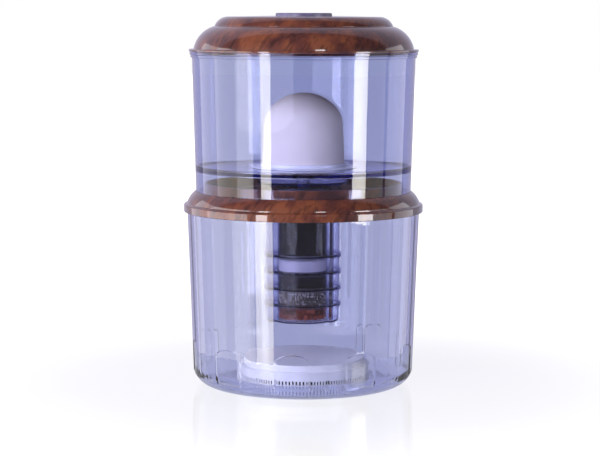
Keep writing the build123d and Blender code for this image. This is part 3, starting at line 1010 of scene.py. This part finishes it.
cap_low, cap_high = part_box("cartridge_cap")
cap_radius = cap_high.x
cap_wall = 3 * mm
cap_floor = cap_high.z - 11.5 * mm
cup_top = cap_floor - 2.5 * mm
cup_radius = 44.5 * mm
cup_wall = 1.8 * mm
cap_bore = stem_radius + 0.1 * mm
cap_hub = cap_bore + 4.5 * mm
cap_spigot = cup_radius - cup_wall - 0.15 * mm
cup_plastic = clear_plastic(
    "clear_cup_plastic",
    (0.95, 0.95, 0.97),
    (0.98, 0.98, 0.99),
    (0.1, 0.13, 0.72),
    65,
    bend=1.22,
)
cap = lathed(
    "cartridge_cap_shell",
    rounded(
        [
            (cap_bore, cap_low.z, 0.4 * mm),
            (cap_hub, cap_low.z, 0.8 * mm),
            (cap_hub, cup_top, 0.5 * mm),
            (cap_spigot - cup_wall, cup_top, 0.4 * mm),
            (cap_spigot - cup_wall, cup_top - 4 * mm, 0.4 * mm),
            (cap_spigot, cup_top - 4 * mm, 0.4 * mm),
            (cap_spigot, cup_top),
            (cap_radius, cup_top, 1.2 * mm),
            (cap_radius, cap_high.z, 0.5 * mm),
            (cap_radius - cap_wall, cap_high.z, 0.5 * mm),
            (cap_radius - cap_wall, cap_floor, 0.8 * mm),
            (cap_bore, cap_floor, 0.4 * mm),
        ]
    ),
    cup_plastic,
)
finished(cap, "cartridge", "cup_plastic", "cartridge_cap")

# Cups: five clear double-walled cups, each set in the collar of the one below. Sixteen slots
# in each floor let the water through.

well_radius = 34 * mm
well_inside = well_radius - 1.5 * mm
cup_floor = 1.6 * mm
collar_inner = cup_radius + 0.15 * mm
cup_collar = collar_inner + 3.35 * mm
collar_height = 5 * mm
collar_drop = 1.2 * mm
cup_slots = 16
slot_inner, slot_outer = 9 * mm, 29 * mm
cup_slot = 1.6 * mm
cup_edge = 0.35 * mm


def cup_place(column, radius):
    """Angle of a column of a cup's slice: its borders, and the two sides of its slot."""
    border = math.pi / cup_slots
    half = math.asin(cup_slot / 2 / min(max(radius, slot_inner), slot_outer))
    return (-border, -0.6 * border, -half, half, 0.6 * border, border)[column]


for number in range(1, 6):
    low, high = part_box(f"stage_cup_{number}")
    foot = low.z
    floor = foot + cup_floor
    if number == 1:
        seat = high.z
        collar = [
            (cup_radius, seat - 2.5 * mm, cup_edge),
            (cup_collar, seat - 2.5 * mm, cup_edge),
            (cup_collar, seat, cup_edge),
        ]
    else:
        seat = high.z - collar_height + collar_drop
        collar = [
            (cup_radius, seat - collar_drop, cup_edge),
            (cup_collar, seat - collar_drop, 2 * cup_edge),
            (cup_collar, high.z, 2 * cup_edge),
            (collar_inner, high.z, cup_edge),
            (collar_inner, seat, cup_edge),
        ]
    rows = rounded(
        [
            (0, foot),
            (slot_inner, foot),
            (slot_outer, foot),
            (cup_radius, foot, 1 * mm),
            *collar,
            (cup_radius - cup_wall, seat, cup_edge),
            (cup_radius - cup_wall, floor, 1 * mm),
            (well_radius, floor, 0.6 * mm),
            (well_radius, seat, cup_edge),
            (well_inside, seat, cup_edge),
            (well_inside, floor, 0.6 * mm),
            (slot_outer, floor),
            (slot_inner, floor),
            (0, floor),
        ]
    )
    slot_rows = (row_at(rows, slot_inner, foot), row_at(rows, slot_outer, floor))
    cup = sector(
        f"cup_{number}_shell", lambda column: rows, 6, cup_place, gaps=[(*slot_rows, 2, 3)]
    )
    run_tree(
        cup,
        round_tree,
        {"Copies": cup_slots, "Join Distance": join_distance, "Finish": cup_plastic},
    )
    finished(cup, "cartridge", "cup_plastic", f"stage_cup_{number}")

# Granular beds: carbon, silica and mineral sand, each filling the well of its cup.


def charge(node, grain):
    """Outline of a bed's core, with room left for the grains on it."""
    low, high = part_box(node)
    reach = high.x - grain
    return rounded(
        [
            (0, low.z + grain),
            (reach, low.z + grain, 0.5 * mm),
            (reach, high.z - grain, 0.5 * mm),
            (0, high.z - grain),
        ]
    )


carbon = grain_finish(
    "activated_carbon",
    [(0.002, 0.002, 0.003), (0.006, 0.006, 0.008), (0.02, 0.02, 0.024)],
    0.5,
    0.6 * mm,
    0.1 * mm,
)
silica = grain_finish(
    "silica_granules",
    [(0.9, 0.86, 0.82), (0.97, 0.93, 0.9), (0.99, 0.97, 0.95)],
    0.4,
    0.5 * mm,
    0.1 * mm,
)
sand = grain_finish(
    "mineral_sand",
    [(0.12, 0.1, 0.06), (0.32, 0.28, 0.2), (0.7, 0.64, 0.54)],
    0.35,
    0.6 * mm,
    0.05 * mm,
)
for node, finish, slot, grain, spacing, faces in (
    ("carbon_bed_1", carbon, "carbon", 1.0 * mm, 1.7 * mm, 1),
    ("silica_bed", silica, "silica", 0.9 * mm, 1.25 * mm, 1),
    ("carbon_bed_2", carbon, "carbon", 1.0 * mm, 1.4 * mm, 1),
    ("mineral_sand_bed", sand, "mineral_sand", 1.6 * mm, 2.7 * mm, 2),
):
    filling = bed(
        f"{node}_grains",
        charge(node, grain),
        finish,
        grain,
        spacing,
        0.85 if faces == 2 else 0.6,
        0.85 if faces == 2 else 0.5,
        seed=11,
        faces=faces,
    )
    finished(
        filling, "cartridge", slot, node, sharp=math.radians(80 if faces == 2 else 20)
    )

# Mineral balls: fired clay balls in the lowest cup, in two staggered layers.

ball = 3.9 * mm
balls_low, balls_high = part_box("mineral_ball_bed")
ball_rows = []
layer_rise = balls_high.z - balls_low.z - 2 * ball
for layer in (0, 1):
    for ring_number, count in enumerate((22, 16, 10, 4)):
        reach = balls_high.x - ball - ring_number * 2 * ball
        for number in range(count):
            angle = 2 * math.pi * (number + 0.5 * layer + 0.3 * ring_number) / count
            ball_rows.append(
                (
                    reach * math.sin(angle),
                    -reach * math.cos(angle),
                    balls_low.z + ball + layer * layer_rise,
                )
            )
ball_mesh = bpy.data.meshes.new("fired_balls")
ball_mesh.from_pydata(ball_rows, [], [])
balls = bpy.data.objects.new("fired_balls", ball_mesh)
bpy.context.scene.collection.objects.link(balls)
placed_tree = grain_tree_for("balls_set_on_points", lambda add, source: source["Geometry"])
ball_finish = grain_finish(
    "fired_clay",
    [(0.14, 0.028, 0.014), (0.28, 0.055, 0.026), (0.45, 0.11, 0.05)],
    0.5,
    0.8 * mm,
    0.1 * mm,
)
run_tree(
    balls,
    placed_tree,
    {
        "Grain Radius": ball,
        "Grain Faces": 3,
        "Least Size": 0.94,
        "Flatness": 0.94,
        "Seed": 5,
        "Finish": ball_finish,
    },
)
finished(balls, "cartridge", "mineral_balls", "mineral_ball_bed", sharp=math.radians(80))

# Prefilter pad: a disc of white needled felt that lies on the first carbon bed.

felt, tree, shader = plain_material(
    "needled_felt", (0.8, 0.8, 0.8), 0.95, Sheen_Weight=0.4, Specular_IOR_Level=0.1
)
felt_shades = [(0.7, 0.7, 0.7), (0.86, 0.86, 0.85)]
tree.links.new(drift(tree, felt_shades, 1.2 * mm, detail=6), shader.inputs["Base Color"])
surface_grain(tree, shader, 0.5 * mm, 0.3 * mm, strength=0.6, detail=6)
pad_low, pad_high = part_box("prefilter_pad")
pad = lathed(
    "felt_pad",
    rounded(
        [
            (0, pad_low.z),
            (pad_high.x, pad_low.z, 0.6 * mm),
            (pad_high.x, pad_high.z, 1.1 * mm),
            (0, pad_high.z),
        ]
    ),
    felt,
)
finished(pad, "cartridge", "felt", "prefilter_pad")

# Lid: a hollow wood-look moulding with a brim, a big shoulder and a low crowned tier. Its
# plug drops into the mouth of the upper tank.

cover_low, cover_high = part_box("lid")
lip_top = upper_high.z
brim_radius = cover_high.x
brim_top = lip_top + 2.6 * mm
shoulder_radius = brim_radius - 5.6 * mm
tier_radius = shoulder_radius - 25.6 * mm
tier_foot = lip_top + 30.2 * mm
tier_step = tier_foot + 0.5 * mm
tier_top_radius = tier_radius - 18.4 * mm
tier_top = tier_foot + 11.2 * mm
crown = tier_top + 1.2 * mm
medallion_recess = crown - 0.8 * mm
recess_radius = 34.15 * mm
cover_wall = 2.6 * mm
shoulder_arc = 35.3 * mm
tier_arc = 17.4 * mm
cover_plug = lip_inside - 0.35 * mm
cover_inside = cover_plug - 2.2 * mm
shoulder_foot = (shoulder_radius, brim_top)
tier_foot_point = (tier_radius, tier_foot)
tier_start = (tier_radius, tier_step)
tier_end = (tier_top_radius, tier_top)
inner_foot = (cover_inside, brim_top)
inner_tier = (tier_radius - cover_wall, tier_foot - cover_wall)
inner_step = (tier_radius - cover_wall, tier_step)
inner_top = (tier_top_radius, tier_top - cover_wall)
cover = lathed(
    "walnut_lid",
    rounded(
        [
            (cover_plug, cover_low.z, 0.6 * mm),
            (cover_plug, lip_top),
            (brim_radius, lip_top, 0.5 * mm),
            (brim_radius, brim_top, 0.9 * mm),
            (*shoulder_foot, 0.5 * mm),
            *arc_between(shoulder_foot, tier_foot_point, shoulder_arc, 20),
            (*tier_foot_point, 0.3 * mm),
            tier_start,
            *arc_between(tier_start, tier_end, tier_arc, 12),
            tier_end,
            (recess_radius, crown, 0.4 * mm),
            (recess_radius, medallion_recess),
            (0, medallion_recess),
            (0, crown - cover_wall),
            inner_top,
            *arc_between(inner_top, inner_step, -(tier_arc - cover_wall), 10),
            inner_step,
            inner_tier,
            *arc_between(inner_tier, inner_foot, -(shoulder_arc - cover_wall), 14),
            inner_foot,
            (cover_inside, cover_low.z, 0.6 * mm),
        ]
    ),
    wood,
    steps=5,
)
finished(cover, "lid", "wood_look_plastic", "lid", sharp=math.radians(40))

# Lid medallion: a plain dark disc pressed into the middle of the lid.

disc_low, disc_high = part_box("lid_medallion")
medallion_plastic, tree, shader = plain_material(
    "dark_medallion_plastic", (0.12, 0.1, 0.24), 0.45, Coat_Weight=0.3, Coat_Roughness=0.3
)
medallion_shades = [(0.1, 0.085, 0.19), (0.14, 0.12, 0.25)]
tree.links.new(drift(tree, medallion_shades, 8 * mm), shader.inputs["Base Color"])
surface_grain(tree, shader, 0.8 * mm, 0.03 * mm)
disc = lathed(
    "plain_medallion",
    rounded(
        [
            (0, disc_low.z),
            (disc_high.x, disc_low.z),
            (disc_high.x, disc_high.z, 1.6 * mm),
            (0, disc_high.z),
        ]
    ),
    medallion_plastic,
)
finished(disc, "lid", "medallion_plastic", "lid_medallion")

# Floor, light and camera: a pale floor in a white studio. The room behind the camera is dark,
# with two tall soft boxes and a dim panel, which stand in for the maker's photo lamps.

floor_half = 12
floor_mesh = bpy.data.meshes.new("studio_floor")
floor_mesh.from_pydata(
    [
        (-floor_half, -floor_half, 0),
        (floor_half, -floor_half, 0),
        (floor_half, floor_half, 0),
        (-floor_half, floor_half, 0),
    ],
    [],
    [(0, 1, 2, 3)],
)
studio_floor = bpy.data.objects.new("studio_floor", floor_mesh)
bpy.context.scene.collection.objects.link(studio_floor)


def level_math(tree, operation, *values):
    """A math node's output, from sockets or plain numbers."""
    node = add_node(tree, "ShaderNodeMath", {"operation": operation})
    for socket, value in zip(node.inputs, values):
        if isinstance(value, bpy.types.NodeSocket):
            tree.links.new(value, socket)
        else:
            socket.default_value = value
    return node.outputs[0]


def seen_directly(tree):
    """One for rays straight from the camera or through clear pieces, and the colour seen."""
    path = add_node(tree, "ShaderNodeLightPath")
    open_ray = path.outputs["Is Camera Ray"]
    seen = level_math(tree, "MAXIMUM", open_ray, path.outputs["Is Transmission Ray"])
    bounced = level_math(
        tree, "ADD", path.outputs["Glossy Depth"], path.outputs["Diffuse Depth"]
    )
    straight = level_math(tree, "LESS_THAN", bounced, 0.5)
    shade = add_node(tree, "ShaderNodeMix", {"data_type": "RGBA"})
    tree.links.new(open_ray, shade.inputs[0])
    shade.inputs[6].default_value = (0.68, 0.69, 0.75, 1)
    shade.inputs[7].default_value = (1, 1, 1, 1)
    return level_math(tree, "MULTIPLY", seen, straight), shade.outputs[2], path


floor_paint = bpy.data.materials.new("pale_floor")
floor_paint.use_nodes = True
tree = floor_paint.node_tree
tree.nodes.clear()
direct, shade, path = seen_directly(tree)
mirrored = level_math(
    tree, "MAXIMUM", level_math(tree, "SUBTRACT", path.outputs["Is Glossy Ray"], direct), 0
)
paint = add_node(tree, "ShaderNodeBsdfDiffuse", Color=(0.15, 0.15, 0.155, 1))
bounce_light = level_math(tree, "MULTIPLY", path.outputs["Is Diffuse Ray"], 0.65)
mirror_light = level_math(tree, "MULTIPLY_ADD", mirrored, 0.8, bounce_light)
place = add_node(tree, "ShaderNodeTexCoord")
away = add_node(tree, "ShaderNodeVectorMath", {"operation": "LENGTH"})
tree.links.new(place.outputs["Object"], away.inputs[0])
far_floor = add_node(
    tree, "ShaderNodeMapRange", {"interpolation_type": "SMOOTHSTEP"}, Value=away.outputs["Value"]
)
for key, value in (("From Min", 0.2), ("From Max", 0.9), ("To Min", 0), ("To Max", 0.7)):
    far_floor.inputs[key].default_value = value
glow_level = level_math(tree, "MULTIPLY_ADD", direct, 1.04, mirror_light)
glow_level = level_math(
    tree,
    "MULTIPLY_ADD",
    path.outputs["Is Camera Ray"],
    far_floor.outputs["Result"],
    glow_level,
)
glow = add_node(tree, "ShaderNodeEmission", Color=shade, Strength=glow_level)
lit = add_node(tree, "ShaderNodeAddShader")
tree.links.new(paint.outputs[0], lit.inputs[0])
tree.links.new(glow.outputs[0], lit.inputs[1])
shine = add_node(tree, "ShaderNodeBsdfGlossy", Roughness=0.08)
polished = add_node(tree, "ShaderNodeMixShader", Fac=0.3)
tree.links.new(lit.outputs[0], polished.inputs[1])
tree.links.new(shine.outputs[0], polished.inputs[2])
table_radius = 0.3
beyond = level_math(tree, "GREATER_THAN", away.outputs["Value"], table_radius)
open_floor = level_math(tree, "MULTIPLY", beyond, mirrored)
passing = add_node(tree, "ShaderNodeBsdfTransparent")
mix = add_node(tree, "ShaderNodeMixShader", Fac=open_floor)
tree.links.new(polished.outputs[0], mix.inputs[1])
tree.links.new(passing.outputs[0], mix.inputs[2])
output = add_node(tree, "ShaderNodeOutputMaterial", Surface=mix.outputs[0])
floor_paint.cycles.emission_sampling = "NONE"
floor_mesh.materials.append(floor_paint)

photo_turn = math.radians(5.5)
photo_distance = 2407.3 * mm
photo_height = 451.1 * mm
photo_pitch = math.radians(6.19)
photo_focal = 1987.66
photo_width = 600
photo_roll = math.radians(0.15)
photo_aside = 3.3
camera = bpy.data.cameras.new("photo_camera")
camera.sensor_width = 36
camera.lens = photo_focal * camera.sensor_width / photo_width
camera.clip_end = 100
eye = bpy.data.objects.new("photo_camera", camera)
bpy.context.scene.collection.objects.link(eye)
eye.location = (
    photo_distance * math.sin(photo_turn),
    -photo_distance * math.cos(photo_turn),
    photo_height,
)
turned = Matrix.Rotation(photo_turn + photo_aside / photo_focal, 4, "Z")
tipped = Matrix.Rotation(math.pi / 2 - photo_pitch, 4, "X")
rolled = Matrix.Rotation(photo_roll, 4, "Z")
eye.rotation_euler = (turned @ tipped @ rolled).to_euler()
bpy.context.scene.camera = eye


def soft_box(name, azimuth, spread, low, high, radiance, lights=True):
    """An upright panel at this angle from the camera. Unless it lights, it is only mirrored."""
    distance = 1.5
    width, height = 2 * distance * math.tan(math.radians(spread) / 2), high - low
    lamp = bpy.data.lights.new(name, "AREA")
    lamp.shape = "RECTANGLE"
    lamp.size = width
    lamp.size_y = height
    lamp.energy = radiance * math.pi * width * height
    lamp.color = (0.98, 0.96, 1)
    panel = bpy.data.objects.new(name, lamp)
    bpy.context.scene.collection.objects.link(panel)
    turn = photo_turn + math.radians(azimuth)
    panel.location = (distance * math.sin(turn), -distance * math.cos(turn), (low + high) / 2)
    panel.rotation_euler = (math.pi / 2, 0, turn)
    panel.visible_diffuse = lights
    panel.visible_transmission = abs(azimuth) < 70


soft_box("left_soft_box", -38, 10.6, -0.35, 0.95, 13, lights=False)
soft_box("right_soft_box", 58.5, 15.5, -0.03, 0.85, 14, lights=False)
soft_box("left_panel", -62, 20, -0.5, 0.9, 5, lights=False)
soft_box("left_wall", -86, 28, -0.5, 0.9, 4, lights=False)
soft_box("left_backdrop", -115, 30, -0.5, 0.9, 1.5, lights=False)
soft_box("right_backdrop", 109, 32, -0.5, 0.9, 1.6, lights=False)
soft_box("right_panel", 78, 22, -0.5, 0.85, 1.5, lights=False)
soft_box("small_lamp", 17, 10, 0.85, 1.1, 14, lights=False)
soft_box("key_light", -40, 60, 0.15, 1.8, 5)
bpy.data.objects["key_light"].visible_glossy = False

room = bpy.data.worlds.new("studio_room")
bpy.context.scene.world = room
room.use_nodes = True
tree = room.node_tree
tree.nodes.clear()
place = add_node(tree, "ShaderNodeTexCoord")
facing = add_node(tree, "ShaderNodeVectorMath", {"operation": "DOT_PRODUCT"})
tree.links.new(place.outputs["Generated"], facing.inputs[0])
facing.inputs[1].default_value = (math.sin(photo_turn), -math.cos(photo_turn), 0)
room_light = add_node(
    tree,
    "ShaderNodeMapRange",
    {"interpolation_type": "SMOOTHSTEP"},
    Value=facing.outputs["Value"],
)
for key, value in (("From Min", -0.2), ("From Max", -0.12), ("To Min", 0.7), ("To Max", 0.1)):
    room_light.inputs[key].default_value = value
leftward = add_node(tree, "ShaderNodeVectorMath", {"operation": "DOT_PRODUCT"})
tree.links.new(place.outputs["Generated"], leftward.inputs[0])
leftward.inputs[1].default_value = (-math.cos(photo_turn), -math.sin(photo_turn), 0)
side_light = level_math(tree, "MULTIPLY_ADD", leftward.outputs["Value"], 0.2, 1.1)
direct, shade, path = seen_directly(tree)
mirrored = level_math(
    tree, "MAXIMUM", level_math(tree, "SUBTRACT", path.outputs["Is Glossy Ray"], direct), 0
)
ambient = 0.4
upright = add_node(tree, "ShaderNodeSeparateXYZ", Vector=place.outputs["Generated"])
table_light = add_node(
    tree, "ShaderNodeMapRange", {"interpolation_type": "SMOOTHSTEP"}, Value=upright.outputs["Z"]
)
for key, value in (("From Min", -0.14), ("From Max", -0.07), ("To Min", 0.45), ("To Max", 0)):
    table_light.inputs[key].default_value = value
room_level = level_math(tree, "MULTIPLY", side_light, room_light.outputs["Result"])
room_level = level_math(tree, "MAXIMUM", room_level, table_light.outputs["Result"])
mirrored_level = level_math(tree, "MULTIPLY", mirrored, room_level)
lit_level = level_math(
    tree, "MULTIPLY", level_math(tree, "SUBTRACT", 1, mirrored), ambient
)
level = level_math(
    tree, "MAXIMUM", direct, level_math(tree, "ADD", mirrored_level, lit_level)
)
tint = add_node(tree, "ShaderNodeMix", {"data_type": "RGBA"})
tree.links.new(mirrored, tint.inputs[0])
tree.links.new(shade, tint.inputs[6])
tint.inputs[7].default_value = (0.75, 0.71, 0.92, 1)
background = add_node(tree, "ShaderNodeBackground", Color=tint.outputs[2], Strength=level)
output = add_node(tree, "ShaderNodeOutputWorld", Surface=background.outputs[0])
bpy.context.scene.view_settings.view_transform = "Standard"
